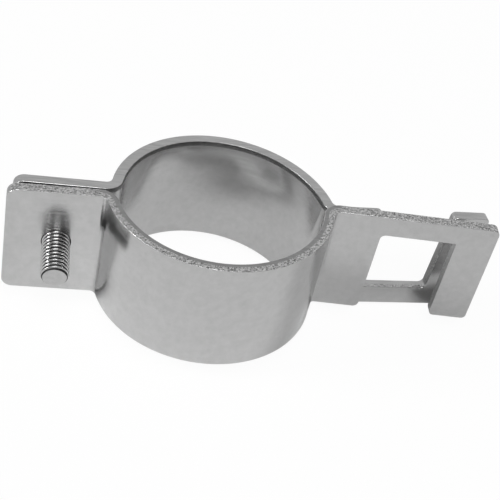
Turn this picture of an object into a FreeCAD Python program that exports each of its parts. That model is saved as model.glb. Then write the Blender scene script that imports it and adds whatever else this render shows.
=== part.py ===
import FreeCAD, Part
import math
import os
import Sketcher

# Post clamp: two halves of bent strip and the screw that draws their ears together.
# The post's axis is Z. The ears lie towards -X, the hooked arms towards +X, and the front half towards -Y.

# Driving dimensions, in millimetres and degrees
SIZES = {
    "ring_radius": 30.0,        # inside of each half's arc, for a post of 60
    "strip_width": 36.0,
    "strip_gauge": 3.2,
    "ear_setback": 3.2,         # ear's joint face to the post's axis
    "ear_reach": 59.5,          # post's axis to the ear's end
    "fold_radius": 2.0,         # inside of both folds
    "arm_setback": 1.9,         # arm's joint face behind the ear's, level with the side of the ring
    "arm_lean": 3.8,            # arm's turn towards its own outer side
    "tab_reach": 48.4,          # post's axis to the near side of the opening, along the arm
    "opening_width": 22.8,      # tab to leg
    "leg_width": 11.8,
    "bar_height": 6.7,          # strip left along the closed side of the opening
    "ear_round": 3.0,
    "tip_round": 2.0,           # arm's end, on the bar's side
    "leg_round": 1.4,           # leg's free end
    "tab_round": 1.7,           # tab's corner beside the opening
    "opening_round": 1.6,       # inside corners of the opening
    "sharp_round": 0.4,         # the front half's, beside its leg
    "screw_inset": 14.5,        # ear's end to the screw
    "screw_height": 0.4,        # screw's axis above mid strip, in the front ear
    "screw_droop": 8.0,         # slack screw hangs down towards its thread end
    "screw_diameter": 8.0,
    "screw_length": 21.3,       # below the head
    "point_chamfer": 0.6,
    "head_flats": 13.0,
    "head_height": 5.3,
    "head_chamfer": 0.75,       # corners of the head's outer face, along the screw
    "chamfer_slope": 30.0,      # of that chamfer to the face
    "collar_diameter": 11.6,    # bearing ring below the head
    "collar_height": 0.4,
    "head_seat": 0.05,          # between the bearing ring and the rear ear
    "hole_clearance": 0.1,      # round the drooping screw, each side
    "cut_margin": 1.0,          # how far a turning cut passes the head's corners
    "rear_swing": 2.1,          # rear half opens about the screw
    "rear_sag": 2.28,           # rear half's arm hangs lower than its ear
    "rear_shift": 0.96,         # rear half stands further along +X
    "rear_drop": 0.37,
    "fold_gap": 0.82,           # between the halves where the arms leave the ring
}


# How near an edge must lie to a corner's place to be that corner
CORNER_REACH = 0.05


def make_sheet(doc):
    sheet = doc.addObject("Spreadsheet::Sheet", "sizes")
    for row, (name, value) in enumerate(SIZES.items(), start=1):
        sheet.set(f"A{row}", name)
        sheet.set(f"B{row}", str(value))
        sheet.setAlias(f"B{row}", name)
    doc.recompute()
    return sheet


def cell(name):
    return "sizes." + name


# Expressions that several features share
HALF_WIDTH = f"{cell('strip_width')} / 2"
FOLD_REACH = f"({cell('ring_radius')} + {cell('strip_gauge')} + {cell('fold_radius')})"
ARM_FACE_AT_FOLD = (f"({cell('arm_setback')} - tan({cell('arm_lean')})"
                    f" * ({FOLD_REACH} - {cell('ring_radius')}))")
SCREW_REACH = f"({cell('ear_reach')} - {cell('screw_inset')})"
REAR_GAP = (f"({cell('fold_gap')} + 2 * {ARM_FACE_AT_FOLD}"
            f" - sin({cell('rear_swing')}) * ({FOLD_REACH} + {SCREW_REACH}))")
LEG_REACH = f"({cell('tab_reach')} + {cell('opening_width')})"
ARM_REACH = f"({LEG_REACH} + {cell('leg_width')})"
DROOP_SLOPE = f"tan({cell('screw_droop')})"
HOLE_DIAMETER = (f"{cell('screw_diameter')} / cos({cell('screw_droop')})"
                 f" + {cell('strip_gauge')} * {DROOP_SLOPE} + 2 * {cell('hole_clearance')}")
FRONT_HOLE_X = f"-{SCREW_REACH}"
FRONT_HOLE_Z = cell("screw_height")
REAR_HOLE_X = f"-{SCREW_REACH} - {cell('rear_shift')}"
REAR_HOLE_Z = (f"-({cell('screw_height')} + {cell('rear_drop')}"
               f" + ({REAR_GAP} + {cell('strip_gauge')}) * {DROOP_SLOPE})")


def origin_plane(body, role):
    return next(item for item in body.Origin.OriginFeatures if item.Role == role)


def new_sketch(body, name, role):
    sketch = body.newObject("Sketcher::SketchObject", name)
    sketch.AttachmentSupport = (origin_plane(body, role), [""])
    sketch.MapMode = "FlatFace"
    return sketch


def constrain(sketch, kind, *args):
    return sketch.addConstraint(Sketcher.Constraint(kind, *args))


def dimension(sketch, expression, kind, *args):
    index = constrain(sketch, kind, *args)
    sketch.setExpression(f"Constraints[{index}]", expression)


def closed_outline(sketch, points):
    sides = []
    for start, end in zip(points, points[1:] + points[:1]):
        sides.append(sketch.addGeometry(Part.LineSegment(start, end), False))
    for side, following in zip(sides, sides[1:] + sides[:1]):
        constrain(sketch, "Coincident", side, 2, following, 1)
    return sides


def arc(center, radius, start, end):
    circle = Part.Circle(center, FreeCAD.Vector(0, 0, 1), radius)
    return Part.ArcOfCircle(circle, start, end)


# Where a fold's centre lies, seen from the post's axis, for an arm that passes offset in front of it
def fold_angle(offset, lean):
    reach = SIZES["ring_radius"] + SIZES["strip_gauge"] + SIZES["fold_radius"]
    depth = offset + SIZES["strip_gauge"] + SIZES["fold_radius"]
    return math.asin(depth / reach) + math.radians(lean)


# Near and far side of the opening and the arm's end, from the post's axis along the arm
def arm_stations():
    near = SIZES["tab_reach"]
    far = near + SIZES["opening_width"]
    return near, far, far + SIZES["leg_width"]


# Section of the strip: ear, fold, ring arc, fold and arm, on the joint side and on the outer side
def strip_section(body):
    inner = SIZES["ring_radius"]
    gauge = SIZES["strip_gauge"]
    bend = SIZES["fold_radius"]
    lean = math.radians(SIZES["arm_lean"])
    ear_y = -SIZES["ear_setback"]
    arm_start = FreeCAD.Vector(inner, ear_y + SIZES["arm_setback"], 0)
    along = FreeCAD.Vector(math.cos(lean), -math.sin(lean), 0)
    back = FreeCAD.Vector(math.sin(lean), math.cos(lean), 0)
    up = FreeCAD.Vector(0, 1, 0)
    left_angle = math.pi + fold_angle(SIZES["ear_setback"], 0)
    right_angle = -fold_angle(-back.dot(arm_start), SIZES["arm_lean"])
    centre = FreeCAD.Vector(0, 0, 0)
    fold_reach = inner + gauge + bend
    left_fold = FreeCAD.Vector(math.cos(left_angle), math.sin(left_angle), 0) * fold_reach
    right_fold = FreeCAD.Vector(math.cos(right_angle), math.sin(right_angle), 0) * fold_reach
    ear_end = FreeCAD.Vector(-SIZES["ear_reach"], ear_y, 0)
    arm_reach = arm_stations()[-1]
    arm_end = along * arm_reach + back * back.dot(arm_start)

    sketch = new_sketch(body, body.Name + "_section", "XY_Plane")
    chains = []
    for depth in (0.0, gauge):
        ear_fold = left_fold + up * (bend + gauge - depth)
        arm_fold = right_fold + back * (bend + gauge - depth)
        shapes = [
            Part.LineSegment(ear_end - up * depth, ear_fold),
            arc(left_fold, bend + gauge - depth, left_angle - math.pi, math.pi / 2),
            arc(centre, inner + depth, left_angle, right_angle + 2 * math.pi),
            arc(right_fold, bend + gauge - depth, math.pi / 2 - lean, right_angle + math.pi),
            Part.LineSegment(arm_fold, arm_end - back * depth),
        ]
        chains.append([sketch.addGeometry(shape, False) for shape in shapes])
    joint, outer = chains
    ear_cap = sketch.addGeometry(Part.LineSegment(ear_end, ear_end - up * gauge), False)
    arm_cap = sketch.addGeometry(Part.LineSegment(arm_end, arm_end - back * gauge), False)
    gauge_point = sketch.addGeometry(Part.Point(arm_start), True)

    # Arcs run anticlockwise: the left fold ends at the ear, and the right fold starts at the arm
    for ear, left, ring, right, arm in chains:
        constrain(sketch, "Tangent", ear, 2, left, 2)
        constrain(sketch, "Tangent", left, 1, ring, 1)
        constrain(sketch, "Tangent", ring, 2, right, 2)
        constrain(sketch, "Tangent", right, 1, arm, 1)
        constrain(sketch, "Horizontal", ear)
        constrain(sketch, "Coincident", ring, 3, -1, 1)
    for cap, part in ((ear_cap, 0), (arm_cap, 4)):
        point = 1 if part == 0 else 2
        constrain(sketch, "Coincident", cap, 1, joint[part], point)
        constrain(sketch, "Coincident", cap, 2, outer[part], point)
    for fold in (1, 3):
        constrain(sketch, "Coincident", joint[fold], 3, outer[fold], 3)
        dimension(sketch, cell("fold_radius"), "Radius", outer[fold], bend)
    constrain(sketch, "Vertical", ear_cap)
    constrain(sketch, "Parallel", joint[4], outer[4])
    constrain(sketch, "Perpendicular", arm_cap, joint[4])
    constrain(sketch, "PointOnObject", gauge_point, 1, joint[4])
    dimension(sketch, cell("ring_radius"), "Radius", joint[2], inner)
    dimension(sketch, f"{cell('ring_radius')} + {cell('strip_gauge')}", "Radius", outer[2], inner + gauge)
    dimension(sketch, f"-{cell('ear_setback')}", "DistanceY", -1, 1, joint[0], 1, ear_y)
    dimension(sketch, f"-{cell('ear_reach')}", "DistanceX", -1, 1, joint[0], 1, -SIZES["ear_reach"])
    dimension(sketch, cell("ring_radius"), "DistanceX", -1, 1, gauge_point, 1, arm_start.x)
    dimension(sketch, f"{cell('arm_setback')} - {cell('ear_setback')}",
              "DistanceY", -1, 1, gauge_point, 1, arm_start.y)
    dimension(sketch, f"-{cell('arm_lean')} * 1 deg", "Angle", joint[4], -lean)
    dimension(sketch, ARM_REACH, "Distance", -1, 1, arm_cap, arm_reach)
    return sketch


def through_cut(body, sketch, name):
    pocket = body.newObject("PartDesign::Pocket", body.Name + "_" + name)
    pocket.Profile = sketch
    pocket.Type = "ThroughAll"
    pocket.SideType = "Symmetric"
    return pocket


# Opening in the arm, between the tab and the leg, open on the side away from the bar
def arm_opening(body):
    near, far, _ = arm_stations()
    top = SIZES["strip_width"] / 2 - SIZES["bar_height"]
    bottom = -SIZES["strip_width"]
    sketch = new_sketch(body, body.Name + "_opening_outline", "XZ_Plane")
    sketch.setExpression("AttachmentOffset", f"placement(vector(0; 0; 0); rotationy(-{cell('arm_lean')}))")
    corners = [FreeCAD.Vector(near, bottom, 0), FreeCAD.Vector(far, bottom, 0),
               FreeCAD.Vector(far, top, 0), FreeCAD.Vector(near, top, 0)]
    sides = closed_outline(sketch, corners)
    for side, direction in zip(sides, ("Horizontal", "Vertical", "Horizontal", "Vertical")):
        constrain(sketch, direction, side)
    dimension(sketch, cell("tab_reach"), "DistanceX", -1, 1, sides[0], 1, near)
    dimension(sketch, LEG_REACH, "DistanceX", -1, 1, sides[1], 1, far)
    dimension(sketch, f"-{cell('strip_width')}", "DistanceY", -1, 1, sides[0], 1, bottom)
    dimension(sketch, f"{HALF_WIDTH} - {cell('bar_height')}", "DistanceY", -1, 1, sides[2], 1, top)
    return through_cut(body, sketch, "opening")


# Clearance hole for the screw, square to the ear
def ear_hole(body, hole_x, hole_z):
    sketch = new_sketch(body, body.Name + "_hole_outline", "XZ_Plane")
    start = FreeCAD.Vector(SIZES["screw_inset"] - SIZES["ear_reach"], SIZES["screw_height"], 0)
    circle = sketch.addGeometry(Part.Circle(start, FreeCAD.Vector(0, 0, 1), SIZES["screw_diameter"]), False)
    dimension(sketch, HOLE_DIAMETER, "Diameter", circle, SIZES["screw_diameter"])
    dimension(sketch, hole_x, "DistanceX", -1, 1, circle, 3, start.x)
    dimension(sketch, hole_z, "DistanceY", -1, 1, circle, 3, start.y)
    return through_cut(body, sketch, "hole")


# Corner edges run through the gauge of the strip, at these places along the arm or ear and up the strip
def round_corners(doc, body, name, size, places):
    doc.recompute()
    base = body.Tip
    lean = math.radians(SIZES["arm_lean"])
    edges = []
    for number, edge in enumerate(base.Shape.Edges, start=1):
        middle = edge.CenterOfMass
        reach = middle.x * math.cos(lean) - middle.y * math.sin(lean) if middle.x > 0 else middle.x
        level = edge.BoundBox.ZLength < CORNER_REACH
        for place_x, place_z in places:
            if level and math.hypot(reach - place_x, middle.z - place_z) < CORNER_REACH:
                edges.append(f"Edge{number}")
    fillet = body.newObject("PartDesign::Fillet", body.Name + "_" + name)
    fillet.Base = (base, edges)
    fillet.setExpression("Radius", cell(size))
    body.Tip = fillet


def make_half(doc, name, hole_x, hole_z, leg_corner):
    body = doc.addObject("PartDesign::Body", name)
    pad = body.newObject("PartDesign::Pad", name + "_strip")
    pad.Profile = strip_section(body)
    pad.SideType = "Symmetric"
    pad.setExpression("Length", cell("strip_width"))
    doc.recompute()
    arm_opening(body)
    ear_hole(body, hole_x, hole_z)
    edge_z = SIZES["strip_width"] / 2
    bar_z = edge_z - SIZES["bar_height"]
    near, far, end = arm_stations()
    ear = -SIZES["ear_reach"]
    round_corners(doc, body, "ear_corners", "ear_round", [(ear, edge_z), (ear, -edge_z)])
    round_corners(doc, body, "tip_corner", "tip_round", [(end, edge_z)])
    round_corners(doc, body, "leg_corners", "leg_round", [(end, -edge_z), (far, -edge_z)])
    round_corners(doc, body, "tab_corner", "tab_round", [(near, -edge_z)])
    round_corners(doc, body, "opening_tab_corner", "opening_round", [(near, bar_z)])
    round_corners(doc, body, "opening_leg_corner", leg_corner, [(far, bar_z)])
    return body


# The rear half is such a pressing turned over about X, slack about the screw
def place_rear(body):
    turn = f"rotationz({cell('rear_swing')}) * rotationy({cell('rear_sag')})"
    pivot = (f"vector({cell('rear_shift')} - {SCREW_REACH};"
             f" {REAR_GAP} - {cell('ear_setback')}; -{cell('rear_drop')})")
    arm = f"vector({SCREW_REACH}; -{cell('ear_setback')}; 0)"
    body.setExpression("Placement", f"placement({pivot} + {turn} * {arm}; {turn} * rotationx(180))")


# Screw in its own frame: Z runs from the head to the point, with the bearing face at zero
def make_screw(doc):
    body = doc.addObject("PartDesign::Body", "clamp_screw")
    radius = SIZES["screw_diameter"] / 2
    length = SIZES["screw_length"]
    chamfer = SIZES["point_chamfer"]
    collar = SIZES["collar_diameter"] / 2
    rise = SIZES["collar_height"]

    outline = new_sketch(body, "shank_outline", "XZ_Plane")
    points = [FreeCAD.Vector(0, -rise, 0), FreeCAD.Vector(collar, -rise, 0), FreeCAD.Vector(collar, 0, 0),
              FreeCAD.Vector(radius, 0, 0), FreeCAD.Vector(radius, length - chamfer, 0),
              FreeCAD.Vector(radius - chamfer, length, 0), FreeCAD.Vector(0, length, 0)]
    under, rim, face, shank, bevel, point, axis = closed_outline(outline, points)
    for side in (under, face, point):
        constrain(outline, "Horizontal", side)
    for side in (rim, shank, axis):
        constrain(outline, "Vertical", side)
    constrain(outline, "PointOnObject", axis, 2, -2)
    constrain(outline, "PointOnObject", face, 1, -1)
    dimension(outline, f"-{cell('collar_height')}", "DistanceY", -1, 1, under, 1, -rise)
    dimension(outline, f"{cell('collar_diameter')} / 2", "DistanceX", -1, 1, rim, 1, collar)
    dimension(outline, f"{cell('screw_diameter')} / 2", "DistanceX", -1, 1, shank, 1, radius)
    dimension(outline, cell("screw_length"), "DistanceY", -1, 1, point, 1, length)
    dimension(outline, f"{cell('screw_length')} - {cell('point_chamfer')}",
              "DistanceY", -1, 1, bevel, 1, length - chamfer)
    dimension(outline, f"{cell('screw_diameter')} / 2 - {cell('point_chamfer')}",
              "DistanceX", -1, 1, point, 1, radius - chamfer)
    shank_turn = body.newObject("PartDesign::Revolution", "shank")
    shank_turn.Profile = outline
    shank_turn.ReferenceAxis = (outline, ["V_Axis"])
    doc.recompute()

    # Hexagon with a flat towards the top of the clamp
    hexagon = new_sketch(body, "head_outline", "XY_Plane")
    corner = SIZES["head_flats"] / math.sqrt(3)
    turns = [math.radians(60 * step) for step in range(6)]
    corners = [FreeCAD.Vector(corner * math.cos(turn), corner * math.sin(turn), 0) for turn in turns]
    flats = closed_outline(hexagon, corners)
    circle = hexagon.addGeometry(Part.Circle(FreeCAD.Vector(0, 0, 0), FreeCAD.Vector(0, 0, 1), corner), True)
    constrain(hexagon, "Coincident", circle, 3, -1, 1)
    for flat in flats:
        constrain(hexagon, "PointOnObject", flat, 1, circle)
    for flat in flats[1:]:
        constrain(hexagon, "Equal", flats[0], flat)
    constrain(hexagon, "PointOnObject", flats[0], 1, -1)
    dimension(hexagon, f"2 * {cell('head_flats')} / sqrt(3)", "Diameter", circle, 2 * corner)
    head = body.newObject("PartDesign::Pad", "head")
    head.Profile = hexagon
    head.Reversed = True
    head.setExpression("Length", cell("head_height"))
    hexagon.setExpression("AttachmentOffset.Base.z", f"-{cell('collar_height')}")
    doc.recompute()

    # Turned chamfer on the corners of the head's outer face
    top = -rise - SIZES["head_height"]
    slope_rise = math.tan(math.radians(SIZES["chamfer_slope"]))
    inside = corner - SIZES["head_chamfer"] / slope_rise
    outside = corner + SIZES["cut_margin"]
    low = top + (outside - inside) * slope_rise
    ring = new_sketch(body, "head_chamfer_outline", "XZ_Plane")
    points = [FreeCAD.Vector(x, y, 0) for x, y in ((outside, top), (inside, top), (outside, low))]
    outer_face, slope, wall = closed_outline(ring, points)
    head_corner = f"{cell('head_flats')} / sqrt(3)"
    constrain(ring, "Horizontal", outer_face)
    constrain(ring, "Vertical", wall)
    dimension(ring, f"-{cell('collar_height')} - {cell('head_height')}",
              "DistanceY", -1, 1, outer_face, 1, top)
    dimension(ring, f"{head_corner} + {cell('cut_margin')}", "DistanceX", -1, 1, outer_face, 1, outside)
    dimension(ring, f"{head_corner} - {cell('head_chamfer')} / tan({cell('chamfer_slope')})",
              "DistanceX", -1, 1, slope, 1, inside)
    dimension(ring, f"{cell('head_chamfer')} + {cell('cut_margin')} * tan({cell('chamfer_slope')})",
              "DistanceY", wall, 2, wall, 1, low - top)
    groove = body.newObject("PartDesign::Groove", "head_chamfer")
    groove.Profile = ring
    groove.ReferenceAxis = (ring, ["V_Axis"])
    doc.recompute()
    return body


# The screw crosses the middle of the front ear and droops until its head meets the rear ear
def place_screw(body):
    tilt = f"sqrt(sin({cell('screw_droop')}) ^ 2 + sin({cell('rear_swing')}) ^ 2)"
    seat = (f"({REAR_GAP} + 1.5 * {cell('strip_gauge')} + {cell('collar_diameter')} / 2 * {tilt}"
            f" + {cell('head_seat')}) / cos({cell('screw_droop')})")
    base = (f"vector(-{SCREW_REACH};"
            f" -{cell('ear_setback')} - {cell('strip_gauge')} / 2 + {seat} * cos({cell('screw_droop')});"
            f" {cell('screw_height')} + {seat} * sin({cell('screw_droop')}))")
    body.setExpression("Placement", f"placement({base}; rotationx(90 + {cell('screw_droop')}))")


def check(doc, bodies):
    for item in doc.Objects:
        if "Invalid" in item.State or "Error" in item.State:
            raise RuntimeError(f"{item.Name} failed: {item.State}")
    for body in bodies:
        if body.Shape.isNull() or not body.Shape.isValid() or len(body.Shape.Solids) != 1:
            raise RuntimeError(f"{body.Label} is not one valid solid")


doc = FreeCAD.newDocument("post_clamp")
make_sheet(doc)
front = make_half(doc, "front_half", FRONT_HOLE_X, FRONT_HOLE_Z, "sharp_round")
rear = make_half(doc, "rear_half", REAR_HOLE_X, REAR_HOLE_Z, "opening_round")
screw = make_screw(doc)
place_rear(rear)
place_screw(screw)
doc.recompute()
subparts = [front, rear, screw]
check(doc, subparts)
os.makedirs("parts", exist_ok=True)
for subpart in subparts:
    subpart.Shape.exportStep(f"parts/{subpart.Label}.step")
    box = subpart.Shape.BoundBox
    print(subpart.Label, round(subpart.Shape.Volume, 1), "mm3", box)
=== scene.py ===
import math
import bmesh
import bpy
from mathutils import Matrix, Vector


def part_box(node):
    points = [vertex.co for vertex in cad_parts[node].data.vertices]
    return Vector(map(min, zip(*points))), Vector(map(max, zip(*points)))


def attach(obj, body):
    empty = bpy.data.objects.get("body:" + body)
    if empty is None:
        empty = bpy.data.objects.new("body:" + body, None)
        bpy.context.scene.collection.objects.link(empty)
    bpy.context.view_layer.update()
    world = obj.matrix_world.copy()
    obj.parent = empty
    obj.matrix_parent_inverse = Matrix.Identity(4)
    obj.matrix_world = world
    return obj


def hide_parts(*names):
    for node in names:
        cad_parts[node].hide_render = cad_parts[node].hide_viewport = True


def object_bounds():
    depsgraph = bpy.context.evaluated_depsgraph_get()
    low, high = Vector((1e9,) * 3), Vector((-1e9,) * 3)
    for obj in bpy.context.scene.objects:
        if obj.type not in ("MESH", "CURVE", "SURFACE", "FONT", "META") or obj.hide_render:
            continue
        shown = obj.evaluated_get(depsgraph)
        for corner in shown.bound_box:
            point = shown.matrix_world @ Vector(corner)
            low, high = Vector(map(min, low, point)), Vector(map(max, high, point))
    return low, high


mm = 0.001                 # the frame is in metres, sizes below are in millimetres
mergeReach = 0.001 * mm    # points closer than this are one
findReach = 0.02 * mm      # how near a point lies to the place that is looked for
facingFrom = 0.95          # cosine above which a face looks straight one way
leaningFrom = 0.5          # and above which it looks more that way than across it

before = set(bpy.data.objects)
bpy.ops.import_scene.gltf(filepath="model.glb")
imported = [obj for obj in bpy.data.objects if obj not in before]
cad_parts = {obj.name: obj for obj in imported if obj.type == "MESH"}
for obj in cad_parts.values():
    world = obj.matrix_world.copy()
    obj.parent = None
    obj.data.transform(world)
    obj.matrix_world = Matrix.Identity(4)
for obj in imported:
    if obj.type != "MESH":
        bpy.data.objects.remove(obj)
cadLow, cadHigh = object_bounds()
print("frame loaded", *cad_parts, [round(value / mm, 1) for value in cadHigh - cadLow])


# Selection and modifiers

def clearSelection():
    if bpy.context.mode != "OBJECT":
        bpy.ops.object.mode_set(mode="OBJECT")
    bpy.ops.object.select_all(action="DESELECT")


def choose(obj):
    clearSelection()
    obj.select_set(True)
    bpy.context.view_layer.objects.active = obj


# Puts the object's place into its mesh
def applyPlace(obj):
    choose(obj)
    bpy.ops.object.transform_apply(location=True, rotation=True, scale=True)


def startObject(name):
    obj = bpy.context.active_object
    obj.name = name
    obj.data.name = name
    applyPlace(obj)
    return obj


def selectMesh():
    bpy.ops.mesh.select_all(action="SELECT")


def editMesh(obj):
    choose(obj)
    bpy.ops.object.mode_set(mode="EDIT")
    bpy.ops.mesh.select_mode(type="VERT")
    selectMesh()


def pick(obj, kind, test):
    bpy.ops.mesh.select_mode(type={"faces": "FACE", "edges": "EDGE"}[kind])
    bpy.ops.mesh.select_all(action="DESELECT")
    shape = bmesh.from_edit_mesh(obj.data)
    shape.normal_update()
    for item in getattr(shape, kind):
        item.select_set(test(item))
    shape.select_flush_mode()
    bmesh.update_edit_mesh(obj.data)


def paint(obj, material):
    obj.active_material_index = obj.data.materials.find(material.name)
    bpy.ops.object.material_slot_assign()


def extrude(x, y, z):
    bpy.ops.mesh.extrude_region_move(TRANSFORM_OT_translate={"value": (x, y, z)})


def cut(point, way, **settings):
    bpy.ops.mesh.bisect(plane_co=point, plane_no=way, threshold=mergeReach, **settings)


def useModifier(obj, kind, **settings):
    choose(obj)
    modifier = obj.modifiers.new(kind.lower(), kind)
    for name, value in settings.items():
        setattr(modifier, name, value)
    bpy.ops.object.modifier_apply(modifier=modifier.name)


def combine(obj, tool, operation, solver="EXACT"):
    useModifier(obj, "BOOLEAN", operation=operation, object=tool, solver=solver)
    bpy.data.objects.remove(tool)


# Materials

def fromHex(text):
    channels = [int(text[at:at + 2], 16) / 255 for at in (1, 3, 5)]
    linear = [c / 12.92 if c <= 0.04045 else ((c + 0.055) / 1.055) ** 2.4 for c in channels]
    return (*linear, 1.0)


def addNode(tree, kind, settings=None, inputs=None):
    node = tree.nodes.new(kind)
    for name, value in (settings or {}).items():
        setattr(node, name, value)
    for name, value in (inputs or {}).items():
        if isinstance(value, bpy.types.NodeSocket):
            tree.links.new(value, node.inputs[name])
        else:
            node.inputs[name].default_value = value
    return node


def newMaterial(name):
    material = bpy.data.materials.new(name)
    material.use_nodes = True
    material.node_tree.nodes.clear()
    return material, material.node_tree


# Metal between a dark and a pale tone; 0, 6, 7 and 2 are the Mix node's factor, colours and result
def shadeMetal(tree, look, pattern, inputs):
    tone = addNode(tree, "ShaderNodeMix", {"data_type": "RGBA"},
                   {0: pattern, 6: fromHex(look["dark"]), 7: fromHex(look["pale"])})
    shader = addNode(tree, "ShaderNodeBsdfPrincipled", None,
                     {"Base Color": tone.outputs[2], "Metallic": 1.0, **inputs})
    addNode(tree, "ShaderNodeOutputMaterial", None, {"Surface": shader.outputs["BSDF"]})


# Bright zinc on rolled strip: soft grey mirror with faint clouds and a grain along the strip
zincFinish = {
    "pale": "#CECECE",
    "dark": "#B2B2B2",
    "cloudSize": 2.4,       # mm
    "grainSpacing": 0.5,    # mm, coarser than the real rolling marks so that they show
    "grainLength": 14.0,    # mm
    "roughLow": 0.16,
    "roughHigh": 0.24,
    "grainDepth": 0.006,    # mm
    "waveSize": 32.0,       # mm, unevenness left by rolling the strip round
    "waveDepth": 3.6,       # mm, only bends the reflections, so deeper than the real one
    "waveShift": (146.2, 19.1, -79.9),   # mm
    "ringReach": 33.5,      # mm, out to which the strip is wavy
    "ringFade": 2.0,        # mm, over which the waves die out
}


def makeZinc(look):
    material, tree = newMaterial("bright zinc plated strip")
    place = addNode(tree, "ShaderNodeTexCoord").outputs["Object"]
    clouds = addNode(tree, "ShaderNodeTexNoise", None,
                     {"Vector": place, "Scale": 1 / (look["cloudSize"] * mm),
                      "Detail": 5.0, "Roughness": 0.7})
    along = 1 / (look["grainLength"] * mm)
    across = 1 / (look["grainSpacing"] * mm)
    stretched = addNode(tree, "ShaderNodeMapping", None, {"Vector": place, "Scale": (along, along, across)})
    grain = addNode(tree, "ShaderNodeTexNoise", None,
                    {"Vector": stretched.outputs["Vector"], "Scale": 1.0, "Detail": 3.0})
    rough = addNode(tree, "ShaderNodeMapRange", None,
                    {"Value": grain.outputs["Fac"], "From Min": 0.3, "From Max": 0.7,
                     "To Min": look["roughLow"], "To Max": look["roughHigh"]})
    bump = addNode(tree, "ShaderNodeBump", None,
                   {"Height": grain.outputs["Fac"], "Strength": 0.5, "Distance": look["grainDepth"] * mm})
    shifted = addNode(tree, "ShaderNodeMapping", None,
                      {"Vector": place, "Location": [value * mm for value in look["waveShift"]]})
    waves = addNode(tree, "ShaderNodeTexNoise", None,
                    {"Vector": shifted.outputs["Vector"], "Scale": 1 / (look["waveSize"] * mm),
                     "Detail": 1.0})
    # Distance from the post's axis keeps the waves on the ring
    spread = addNode(tree, "ShaderNodeMapping", None, {"Vector": place, "Scale": (1, 1, 0)})
    reach = addNode(tree, "ShaderNodeVectorMath", {"operation": "LENGTH"}, {0: spread.outputs["Vector"]})
    onRing = addNode(tree, "ShaderNodeMapRange", None,
                     {"Value": reach.outputs["Value"], "From Min": look["ringReach"] * mm,
                      "From Max": (look["ringReach"] + look["ringFade"]) * mm, "To Min": 1.0, "To Max": 0.0})
    wavy = addNode(tree, "ShaderNodeBump", None,
                   {"Height": waves.outputs["Fac"], "Strength": onRing.outputs["Result"],
                    "Distance": look["waveDepth"] * mm, "Normal": bump.outputs["Normal"]})
    shadeMetal(tree, look, clouds.outputs["Fac"],
               {"Roughness": rough.outputs["Result"], "Normal": wavy.outputs["Normal"]})
    return material


# Smooth sheared edge: rubbed bright by the blade, with fine lines along it
burnishFinish = {
    "name": "zinc plated edge, burnished",
    "pale": "#B2B2B2",
    "dark": "#808080",
    "lineSpacing": 0.6,     # mm, coarser than the real lines so that they show
    "lineLength": 8.0,      # mm
    "roughness": 0.3,
}

# Smooth part of a torn edge: scored by the blade, so duller and darker
scoreFinish = {
    "name": "zinc plated edge, scored",
    "pale": "#969696",
    "dark": "#626262",
    "lineSpacing": 0.5,     # mm, coarser than the real lines so that they show
    "lineLength": 6.0,      # mm
    "roughness": 0.34,
}


def makeBurnished(look):
    material, tree = newMaterial(look["name"])
    place = addNode(tree, "ShaderNodeTexCoord").outputs["Object"]
    along = 1 / (look["lineLength"] * mm)
    across = 1 / (look["lineSpacing"] * mm)
    stretched = addNode(tree, "ShaderNodeMapping", None, {"Vector": place, "Scale": (along, across, across)})
    lines = addNode(tree, "ShaderNodeTexNoise", None,
                    {"Vector": stretched.outputs["Vector"], "Scale": 1.0, "Detail": 2.0})
    shadeMetal(tree, look, lines.outputs["Fac"], {"Roughness": look["roughness"]})
    return material


# Torn part of the sheared edge: broken steel under the zinc in patchy specks, with painted shade in its pits
tornFinish = {
    "pale": "#C8C8C8",
    "dark": "#404040",
    "speckSize": 0.55,      # mm, coarser than the real tears so that they show
    # of the noise, from the painted shade in the pits to pale
    "pitShadeSpan": (0.41, 0.59),   # of the noise, from dark to pale
    "roughness": 0.36,
    "tearDepth": 0.14,      # mm
}


def makeTorn(look):
    material, tree = newMaterial("zinc plated edge, torn")
    place = addNode(tree, "ShaderNodeTexCoord").outputs["Object"]
    specks = addNode(tree, "ShaderNodeTexNoise", None,
                     {"Vector": place, "Scale": 1 / (look["speckSize"] * mm),
                      "Detail": 5.0, "Roughness": 0.9})
    dark, pale = look["pitShadeSpan"]
    # The same noise lowers the bump and darkens the colour, so the pits carry painted shade
    spread = addNode(tree, "ShaderNodeMapRange", None,
                     {"Value": specks.outputs["Fac"], "From Min": dark, "From Max": pale})
    bump = addNode(tree, "ShaderNodeBump", None,
                   {"Height": specks.outputs["Fac"], "Strength": 0.6, "Distance": look["tearDepth"] * mm})
    shadeMetal(tree, look, spread.outputs["Result"],
               {"Roughness": look["roughness"], "Normal": bump.outputs["Normal"]})
    return material


# Zinc on a rolled thread: brighter and smoother than the strip's edges
screwFinish = {
    "name": "zinc plated screw steel",
    "pale": "#C6C6C6",
    "dark": "#AAAAAA",
    "mottleSize": 1.2,      # mm
    "roughness": 0.18,
}

# Bottom of the thread: painted shade, nearly black, standing in for the shade that fills the thread's roots
rootShadeFinish = {
    "name": "oiled thread root",
    "pale": "#4A4A4A",
    "dark": "#2A2A2A",
    "mottleSize": 0.8,      # mm
    "roughness": 0.3,
}


def makeScrewSteel(look):
    material, tree = newMaterial(look["name"])
    place = addNode(tree, "ShaderNodeTexCoord").outputs["Object"]
    mottle = addNode(tree, "ShaderNodeTexNoise", None,
                     {"Vector": place, "Scale": 1 / (look["mottleSize"] * mm), "Detail": 3.0})
    shadeMetal(tree, look, mottle.outputs["Fac"], {"Roughness": look["roughness"]})
    return material


zinc = makeZinc(zincFinish)
burnished = makeBurnished(burnishFinish)
scored = makeBurnished(scoreFinish)
torn = makeTorn(tornFinish)
screwZinc = makeScrewSteel(screwFinish)
threadRootShade = makeScrewSteel(rootShadeFinish)
print("materials made")


# Half of the clamp: a strip bent from its ear, round the post, to the hooked arm

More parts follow.
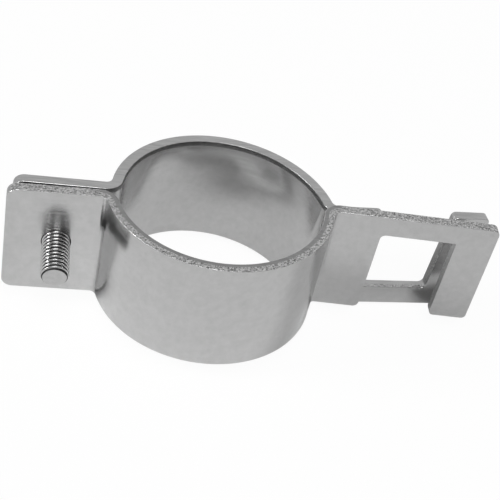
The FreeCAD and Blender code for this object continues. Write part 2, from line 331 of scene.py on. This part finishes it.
halfShape = {
    "innerRadius": 30.0,
    "foldRadius": 2.0,      # inside of both folds
    "earSetback": 3.2,      # joint face of the ear to the post's axis
    "armSetback": 1.9,      # joint face of the arm behind the ear's
    "armLean": 3.8,         # degrees
    "tabReach": 48.4,       # post's axis to the opening, along the arm
    "openingWidth": 22.8,
    "legWidth": 11.8,
    "barHeight": 6.7,
    "earRound": 3.0,
    "tipRound": 2.0,
    "legRound": 1.4,
    "tabRound": 1.7,
    "openingRound": 1.6,
    "sharpRound": 0.4,      # the front half's, beside its leg
    "burnish": 1.4,         # smooth part of the sheared edge, from the joint face
    "rollWidth": 1.5,       # where the shear drew the joint face down, along the face
    "rollDepth": 0.2,
    "rollFade": 3.0,        # over which it dies out in the folds
    "edgeRound": 0.17,      # along every sheared edge
    "roundFrom": 40.0,      # degrees, edges sharper than this are rounded
    "flatWithin": 0.2,      # degrees, faces flatter than this to each other become one
    "arcSteps": 96,
    "foldSteps": 12,
    "cornerSteps": 8,
    "rollSteps": 5,
    "edgeSteps": 3,
    "holeSides": 64,
}


def stripGauge(size):
    return -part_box("front_half")[0].y - size["innerRadius"] * mm


def bendHalf(size, name, legCorner):
    low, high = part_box("front_half")
    width = high.z - low.z
    earReach = -low.x
    inner = size["innerRadius"] * mm
    gauge = stripGauge(size)
    fold = size["foldRadius"] * mm
    lean = math.radians(size["armLean"])
    along = Vector((math.cos(lean), -math.sin(lean), 0))
    back = Vector((math.sin(lean), math.cos(lean), 0))
    earFace = -size["earSetback"] * mm
    armFace = back.dot(Vector((inner, earFace + size["armSetback"] * mm, 0)))
    foldReach = inner + gauge + fold
    frontWay = 1.5 * math.pi
    # Where the arc leaves each fold, as angles about the post's axis, and the folds' own axes
    earAngle = math.pi + math.asin((gauge + fold - earFace) / foldReach)
    armAngle = 2 * math.pi - math.asin((gauge + fold - armFace) / foldReach) - lean
    earFold = Vector((math.cos(earAngle), math.sin(earAngle), 0)) * foldReach
    armFold = Vector((math.cos(armAngle), math.sin(armAngle), 0)) * foldReach
    ringStart = earFold.x
    ringStop = along.dot(armFold)
    tab = size["tabReach"] * mm
    leg = tab + size["openingWidth"] * mm
    end = leg + size["legWidth"] * mm
    edge = width / 2
    bar = edge - size["barHeight"] * mm
    burnish = size["burnish"] * mm

    clearSelection()
    bpy.ops.mesh.primitive_plane_add(size=1, location=(-earReach, earFace - gauge / 2, 0),
                                     rotation=(0, math.pi / 2, 0))
    bpy.context.active_object.scale = (width, gauge, 1)
    obj = startObject(name)
    editMesh(obj)
    cut((0, 0, bar), (0, 0, 1))
    selectMesh()
    cut((0, earFace - burnish, 0), (0, 1, 0))
    selectMesh()
    extrude(earFold.x + earReach, 0, 0)
    bend = {"axis": (0, 0, 1), "dupli": False}
    bpy.ops.mesh.spin(steps=size["foldSteps"], angle=frontWay - earAngle, center=earFold, **bend)
    bpy.ops.mesh.spin(steps=size["arcSteps"], angle=earAngle - armAngle, center=(0, 0, 0), **bend)
    bpy.ops.mesh.spin(steps=size["foldSteps"], angle=armAngle - frontWay + lean, center=armFold, **bend)
    extrude(*(along * (tab - ringStop)))

    def station(point):
        return along.dot(point) if point.x > 0 else point.x

    def isTabEnd(face):
        centre = face.calc_center_median()
        return face.normal.dot(along) > facingFrom and centre.z > bar and station(centre) > tab - findReach

    pick(obj, "faces", isTabEnd)
    extrude(*(along * (leg - tab)))    # bar over the opening
    extrude(*(along * (end - leg)))
    pick(obj, "faces", lambda face: face.normal.z < -facingFrom and station(face.calc_center_median()) > leg)
    extrude(0, 0, -edge - bar)         # leg down to the strip's other edge
    selectMesh()
    bpy.ops.mesh.remove_doubles(threshold=mergeReach)
    bpy.ops.mesh.normals_make_consistent(inside=False)

    # Way into the metal from the joint face at a point, and how deep the point lies
    def inward(point):
        flat = Vector((point.x, point.y, 0))
        turn = math.atan2(flat.y, flat.x) % (2 * math.pi)
        if flat.x < ringStart:
            return Vector((0, -1, 0)), earFace - flat.y
        if along.dot(flat) > ringStop:
            return -back, armFace - back.dot(flat)
        if earAngle <= turn <= armAngle:
            return flat.normalized(), flat.length - inner
        away = (earFold if flat.x < 0 else armFold) - flat
        return away.normalized(), fold + gauge - away.length

    def isSheared(face):
        centre = face.calc_center_median()
        if abs(face.normal.z) > leaningFrom:
            return True
        if centre.x < ringStart:
            return abs(face.normal.y) < leaningFrom
        return along.dot(centre) > ringStop + fold and abs(face.normal.dot(back)) < leaningFrom

    # One long edge was cut from the joint face, and the opening from the outer face
    def isTopEdge(face):
        return face.normal.z > leaningFrom and face.calc_center_median().z > bar

    def isTorn(face):
        centre = face.calc_center_median()
        if isTopEdge(face):
            return inward(centre)[1] > burnish or not ringStart < station(centre) < ringStop
        inOpening = tab - burnish < station(centre) < leg + burnish and -edge < centre.z < bar + burnish
        return inOpening and isSheared(face) and inward(centre)[1] < burnish

    for material in (zinc, burnished, scored, torn):
        obj.data.materials.append(material)
    for material, test in ((burnished, isSheared), (scored, isTopEdge), (torn, isTorn)):
        pick(obj, "faces", test)
        paint(obj, material)
    selectMesh()
    bpy.ops.mesh.dissolve_limited(angle_limit=math.radians(size["flatWithin"]), delimit={"MATERIAL"})

    def isAt(vert, reach, height):
        return abs(station(vert.co) - reach) < findReach and abs(vert.co.z - height) < findReach

    def atCorner(item, places):
        return any(all(isAt(vert, *place) for vert in item.verts) for place in places)

    corners = {
        "earRound": [(-earReach, edge), (-earReach, -edge)],
        "tipRound": [(end, edge)],
        "legRound": [(end, -edge), (leg, -edge)],
        "tabRound": [(tab, -edge)],
        "openingRound": [(tab, bar)],
    }
    corners[legCorner] = corners.get(legCorner, []) + [(leg, bar)]
    for key, places in corners.items():
        pick(obj, "edges", lambda item: atCorner(item, places))
        bpy.ops.mesh.bevel(offset=size[key] * mm, segments=size["cornerSteps"], affect="EDGES",
                           clamp_overlap=False)

    # Round the ring the joint face rolls over towards the strip's long edges
    rollWidth = size["rollWidth"] * mm
    rollDepth = size["rollDepth"] * mm
    rollFade = size["rollFade"] * mm

    def onRing(face):
        centre = face.calc_center_median()
        isUpright = abs(face.normal.z) < leaningFrom
        return isUpright and ringStart < station(centre) < ringStop and inward(centre)[1] < rollDepth

    for side in (1, -1):
        for step in range(size["rollSteps"]):
            row = math.sin(math.pi / 2 * step / (size["rollSteps"] + 1))
            pick(obj, "faces", onRing)
            cut((0, 0, side * (edge - rollWidth * (1 - row))), (0, 0, 1))
        shape = bmesh.from_edit_mesh(obj.data)
        for vert in shape.verts:
            way, depth = inward(vert.co)
            rise = (side * vert.co.z - edge + rollWidth) / rollWidth
            room = min(station(vert.co) - ringStart, ringStop - station(vert.co)) / rollFade
            if depth < findReach and rise > 0 and room > 0:
                vert.co += way * rollDepth * (1 - math.sqrt(max(1 - rise * rise, 0))) * min(room, 1)
        bmesh.update_edit_mesh(obj.data)
    # The blade rubbed one of the rolled edges dull
    pick(obj, "faces", lambda face: onRing(face) and face.calc_center_median().z < rollWidth - edge)
    paint(obj, scored)
    choose(obj)
    return obj


def finishHalf(obj, size, hole):
    clearSelection()
    bpy.ops.mesh.primitive_cylinder_add(vertices=size["holeSides"], radius=hole["radius"],
                                        depth=hole["depth"], location=hole["middle"], rotation=hole["turn"])
    # The exact solver adds a stray vertex in some runs
    combine(obj, startObject("earDrill"), "DIFFERENCE", "FAST")
    useModifier(obj, "BEVEL", width=size["edgeRound"] * mm, segments=size["edgeSteps"], limit_method="ANGLE",
                angle_limit=math.radians(size["roundFrom"]))
    bpy.ops.object.shade_smooth()
    useModifier(obj, "WEIGHTED_NORMAL", mode="FACE_AREA", weight=50)


# How the slack clamp hangs about its screw
slackPose = {
    "screwReach": 45.0,     # post's axis to the screw
    "screwHeight": 0.4,
    "screwDroop": 8.0,      # degrees
    "screwRadius": 4.0,
    "swing": 2.1,           # degrees, rear half opens
    "sag": 2.28,            # degrees, rear half's arm hangs
    "shift": 0.96,
    "drop": 0.37,
    "earGap": 0.99,         # between the ears at the screw
    "headSeat": 6.74,       # middle of the front ear to the head's bearing face, along the screw
    "holeClearance": 0.1,
    "drillDepth": 1.6,      # times the strip's thickness
}


def rearPlace(size, pose):
    setback = size["earSetback"] * mm
    reach = pose["screwReach"] * mm
    pivot = Vector((pose["shift"] * mm - reach, pose["earGap"] * mm - setback, -pose["drop"] * mm))
    turn = (Matrix.Rotation(math.radians(pose["swing"]), 4, "Z")
            @ Matrix.Rotation(math.radians(pose["sag"]), 4, "Y"))
    return (Matrix.Translation(pivot) @ turn @ Matrix.Translation((reach, -setback, 0))
            @ Matrix.Rotation(math.pi, 4, "X"))


# Point on the screw's axis, this far behind the middle of the front ear
def screwPoint(size, pose, behind):
    droop = math.radians(pose["screwDroop"])
    earMiddle = -(size["earSetback"] * mm + stripGauge(size) / 2)
    return Vector((-pose["screwReach"] * mm, earMiddle + behind * math.cos(droop),
                   pose["screwHeight"] * mm + behind * math.sin(droop)))


# A hole that follows the screw's slant
def earHole(pose, gauge, middle):
    return {
        "radius": (pose["screwRadius"] + pose["holeClearance"]) * mm,
        "depth": gauge * pose["drillDepth"],
        "middle": middle,
        "turn": (math.pi / 2 + math.radians(pose["screwDroop"]), 0, 0),
    }


def makeHalves(size, pose):
    gauge = stripGauge(size)
    front = bendHalf(size, "frontHalf", "sharpRound")
    rear = bendHalf(size, "rearHalf", "openingRound")
    rear.matrix_world = rearPlace(size, pose)
    applyPlace(rear)
    finishHalf(front, size, earHole(pose, gauge, screwPoint(size, pose, 0)))
    apart = (pose["earGap"] * mm + gauge) / math.cos(math.radians(pose["screwDroop"]))
    finishHalf(rear, size, earHole(pose, gauge, screwPoint(size, pose, apart)))
    return front, rear


front, rear = makeHalves(halfShape, slackPose)
print("halves bent", len(front.data.polygons), len(rear.data.polygons))


# Screw: rolled thread, hexagon head and bearing ring, built upright and then laid through the ears

screwShape = {
    "threadRadius": slackPose["screwRadius"],
    "pitch": 1.25,
    "flankDepth": 0.677,
    "flankSwell": 0.62,     # of the wave that is clipped to the thread's depth
    "length": 21.3,
    "neckLength": 2.0,      # plain, below the head
    "neckRadius": 3.6,
    "neckSink": 0.2,        # into the head
    "neckJoin": 0.6,        # into the thread
    "neckChamfer": 0.4,
    "pointChamfer": 0.6,
    "turningSlack": 0.01,   # the point is turned just outside the crests
    "headFlats": 13.0,
    "headHeight": 5.3,
    "headChamfer": 0.75,
    "chamferSlope": 30.0,   # degrees
    "collarRadius": 5.8,
    "collarHeight": 0.4,
    "edgeRound": 0.12,
    "roundFrom": 25.0,      # degrees, edges of the head sharper than this are rounded
    "smoothBelow": 40.0,    # degrees
    "runIn": 1.51,          # turns that start below the neck's end and are cut off
    "spareTurns": 3,
    "turnSteps": 48,
    "pitchSteps": 16,
    "edgeSteps": 2,
    "roundSides": 96,
}


def makeThread(size):
    pitch = size["pitch"] * mm
    crest = size["threadRadius"] * mm
    top = size["length"] * mm
    start = size["neckLength"] * mm
    turns = math.ceil((top - start) / pitch) + size["spareTurns"]
    clearSelection()
    bpy.ops.mesh.primitive_plane_add(size=pitch, location=(crest, 0, start - size["runIn"] * pitch))
    obj = startObject("clampScrew")
    editMesh(obj)
    bpy.ops.mesh.merge(type="CENTER")
    # Rolled thread: a wave clipped at crest and root, so that both are flat with rounded sides
    steps = size["pitchSteps"]
    half = 0.5    # of the depth, from its middle out to the crest and in to the root
    waves = [size["flankSwell"] * math.cos(2 * math.pi * step / steps) for step in range(steps + 1)]
    reaches = [size["flankDepth"] * mm * min(max(wave, -half), half) for wave in waves]
    for this, following in zip(reaches, reaches[1:]):
        extrude(following - this, 0, pitch / steps)
    useModifier(obj, "SCREW", axis="Z", steps=size["turnSteps"], render_steps=size["turnSteps"],
                screw_offset=pitch, iterations=turns, use_merge_vertices=True, merge_threshold=mergeReach)
    editMesh(obj)
    bpy.ops.mesh.remove_doubles(threshold=mergeReach)
    for height, side in ((start, -1), (top, 1)):
        selectMesh()
        cut((0, 0, height), (0, 0, side), use_fill=True, clear_outer=True)
    selectMesh()
    bpy.ops.mesh.normals_make_consistent(inside=False)
    choose(obj)
    return obj


def turnedBar(size, name, radius, low, high, chamfer):
    bpy.ops.mesh.primitive_cylinder_add(vertices=size["roundSides"], radius=radius, depth=high - low,
                                        location=(0, 0, (low + high) / 2))
    obj = startObject(name)
    editMesh(obj)
    pick(obj, "edges", lambda item: all(vert.co.z > high - mergeReach for vert in item.verts))
    bpy.ops.mesh.bevel(offset=chamfer, segments=1, affect="EDGES")
    choose(obj)
    return obj


def makeHead(size):
    corner = size["headFlats"] * mm / math.sqrt(3)
    height = size["headHeight"] * mm
    collar = size["collarHeight"] * mm
    middle = (0, 0, -collar - height / 2)
    bpy.ops.mesh.primitive_cylinder_add(vertices=6, radius=corner, depth=height, location=middle,
                                        rotation=(0, 0, math.pi / 6))
    head = startObject("screwHead")
    slope = math.tan(math.radians(size["chamferSlope"]))
    inside = corner - size["headChamfer"] * mm / slope
    bpy.ops.mesh.primitive_cone_add(vertices=size["roundSides"], radius1=inside,
                                    radius2=inside + height / slope, depth=height, location=middle)
    combine(head, startObject("headTurning"), "INTERSECT")
    bpy.ops.mesh.primitive_cylinder_add(vertices=size["roundSides"], radius=size["collarRadius"] * mm,
                                        depth=2 * collar, location=(0, 0, -collar))
    combine(head, startObject("bearingRing"), "UNION")
    useModifier(head, "BEVEL", width=size["edgeRound"] * mm, segments=size["edgeSteps"], limit_method="ANGLE",
                angle_limit=math.radians(size["roundFrom"]))
    return head


def makeScrew(size, pose):
    obj = makeThread(size)
    top = size["length"] * mm
    start = size["neckLength"] * mm
    crest = (size["threadRadius"] + size["turningSlack"]) * mm
    point = turnedBar(size, "pointTurning", crest, -start, top, size["pointChamfer"] * mm)
    combine(obj, point, "INTERSECT")
    neck = turnedBar(size, "neck", size["neckRadius"] * mm, -size["neckSink"] * mm,
                     start + size["neckJoin"] * mm, size["neckChamfer"] * mm)
    combine(obj, neck, "UNION")
    combine(obj, makeHead(size), "UNION")

    obj.data.materials.clear()
    for material in (screwZinc, threadRootShade):
        obj.data.materials.append(material)
    valley = (size["threadRadius"] - size["flankDepth"] / 2) * mm

    def isRoot(face):
        centre = face.calc_center_median()
        return centre.z > start and centre.xy.length < valley and abs(face.normal.z) < facingFrom

    editMesh(obj)
    # The thread's roots are painted nearly black: painted shade in the valleys
    pick(obj, "faces", isRoot)
    paint(obj, threadRootShade)

    lay = Matrix.Rotation(math.pi / 2 + math.radians(pose["screwDroop"]), 4, "X")
    obj.matrix_world = Matrix.Translation(screwPoint(halfShape, pose, pose["headSeat"] * mm)) @ lay
    applyPlace(obj)
    bpy.ops.object.shade_smooth_by_angle(angle=math.radians(size["smoothBelow"]))
    return obj


screw = makeScrew(screwShape, slackPose)
print("screw made", len(screw.data.polygons))

for piece, node, slot in ((front, "front_half", "plated_strip"), (rear, "rear_half", "plated_strip"),
                          (screw, "clamp_screw", "plated_screw")):
    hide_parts(node)
    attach(piece, "root")


# White sweep, soft light and camera

stageLook = {
    "floorSize": 6.0,       # m
    "floorGap": 0.1,        # mm below the clamp
    "floorColour": "#F4F4F4",
    "cameraShare": 0.96,    # of plain white, the rest is lit paper that keeps the shadow
    "mirrorShare": 0.03,    # the same in reflections
    "worldLevel": 0.02,
    "roomLevel": 0.10,      # darker side of the studio, in front of the object
    "roomEdge": (-0.6, -0.1),   # over which it fades, as the y of the way it is seen
}


def rayKinds(tree):
    path = addNode(tree, "ShaderNodeLightPath").outputs
    mirrored = addNode(tree, "ShaderNodeMath", {"operation": "MAXIMUM"},
                       {0: path["Is Glossy Ray"], 1: path["Is Transmission Ray"]})
    return path["Is Camera Ray"], mirrored.outputs[0]


def makeFloor(look):
    clearSelection()
    height = cadLow.z - look["floorGap"] * mm
    bpy.ops.mesh.primitive_plane_add(size=look["floorSize"], location=(0, 0, height))
    floor = startObject("floor")
    material, tree = newMaterial("white paper sweep")
    paper = addNode(tree, "ShaderNodeBsdfDiffuse", None, {"Color": fromHex(look["floorColour"])})
    glow = addNode(tree, "ShaderNodeEmission", None, {"Color": (1, 1, 1, 1), "Strength": 1.0})
    seen, mirrored = rayKinds(tree)
    share = addNode(tree, "ShaderNodeMath", {"operation": "MULTIPLY"}, {0: mirrored, 1: look["mirrorShare"]})
    white = addNode(tree, "ShaderNodeMath", {"operation": "MULTIPLY_ADD"},
                    {0: seen, 1: look["cameraShare"], 2: share.outputs[0]})
    mixed = addNode(tree, "ShaderNodeMixShader", None,
                    {0: white.outputs[0], 1: paper.outputs[0], 2: glow.outputs[0]})
    addNode(tree, "ShaderNodeOutputMaterial", None, {"Surface": mixed.outputs[0]})
    floor.data.materials.append(material)


def makeWorld(look):
    world = bpy.data.worlds.new("studio")
    world.use_nodes = True
    world.node_tree.nodes.clear()
    tree = world.node_tree
    seen, mirrored = rayKinds(tree)
    way = addNode(tree, "ShaderNodeTexCoord").outputs["Generated"]
    depth = addNode(tree, "ShaderNodeSeparateXYZ", None, {"Vector": way}).outputs["Y"]
    dim, bright = look["roomEdge"]
    room = addNode(tree, "ShaderNodeMapRange", {"interpolation_type": "SMOOTHSTEP"},
                   {"Value": depth, "From Min": dim, "From Max": bright,
                    "To Min": look["roomLevel"], "To Max": 1.0})
    lit = addNode(tree, "ShaderNodeMapRange", None,
                  {"Value": mirrored, "To Min": look["worldLevel"], "To Max": room.outputs["Result"]})
    level = addNode(tree, "ShaderNodeMapRange", None,
                    {"Value": seen, "To Min": lit.outputs["Result"], "To Max": 1.0})
    sky = addNode(tree, "ShaderNodeBackground", None,
                  {"Color": (1, 1, 1, 1), "Strength": level.outputs["Result"]})
    addNode(tree, "ShaderNodeOutputWorld", None, {"Surface": sky.outputs[0]})
    bpy.context.scene.world = world


# Places and sizes in metres, power in watts
lampLook = {
    "sideLamp": {"place": (-2.16, -0.19, 1.25), "size": 0.8, "power": 40.0},
    "topLamp": {"place": (-0.10, -1.09, 2.25), "size": 1.3, "power": 38.5},
}


def makeLamps(lamps):
    for name, look in lamps.items():
        data = bpy.data.lights.new(name, "AREA")
        data.size = look["size"]
        data.energy = look["power"]
        lamp = bpy.data.objects.new(name, data)
        lamp.location = look["place"]
        lamp.rotation_euler = (-Vector(look["place"])).to_track_quat("-Z", "Y").to_euler()
        bpy.context.collection.objects.link(lamp)


cameraLook = {
    "azimuth": -14.809,     # degrees, as the next two
    "elevation": 40.391,
    "roll": -13.921,
    "place": (-55.475, -256.08, 222.194),   # mm
    "focalPixels": 1168.7,
    "imagePixels": 500,
    "sensorWidth": 36.0,    # mm
    "nearClip": 0.01,       # m
}


def makeCamera(look):
    azimuth = math.radians(look["azimuth"])
    elevation = math.radians(look["elevation"])
    forward = Vector((-math.sin(azimuth) * math.cos(elevation), math.cos(azimuth) * math.cos(elevation),
                      -math.sin(elevation)))
    data = bpy.data.cameras.new("photoCamera")
    data.sensor_width = look["sensorWidth"]
    data.lens = look["focalPixels"] / look["imagePixels"] * look["sensorWidth"]
    data.clip_start = look["nearClip"]
    camera = bpy.data.objects.new("photoCamera", data)
    turn = forward.to_track_quat("-Z", "Y").to_matrix().to_4x4()
    roll = Matrix.Rotation(-math.radians(look["roll"]), 4, "Z")
    camera.matrix_world = Matrix.Translation(Vector(look["place"]) * mm) @ turn @ roll
    bpy.context.collection.objects.link(camera)
    bpy.context.scene.camera = camera


makeFloor(stageLook)
makeWorld(stageLook)
makeLamps(lampLook)
makeCamera(cameraLook)
bpy.context.scene.view_settings.view_transform = "Standard"
print("stage, lamps and camera set")
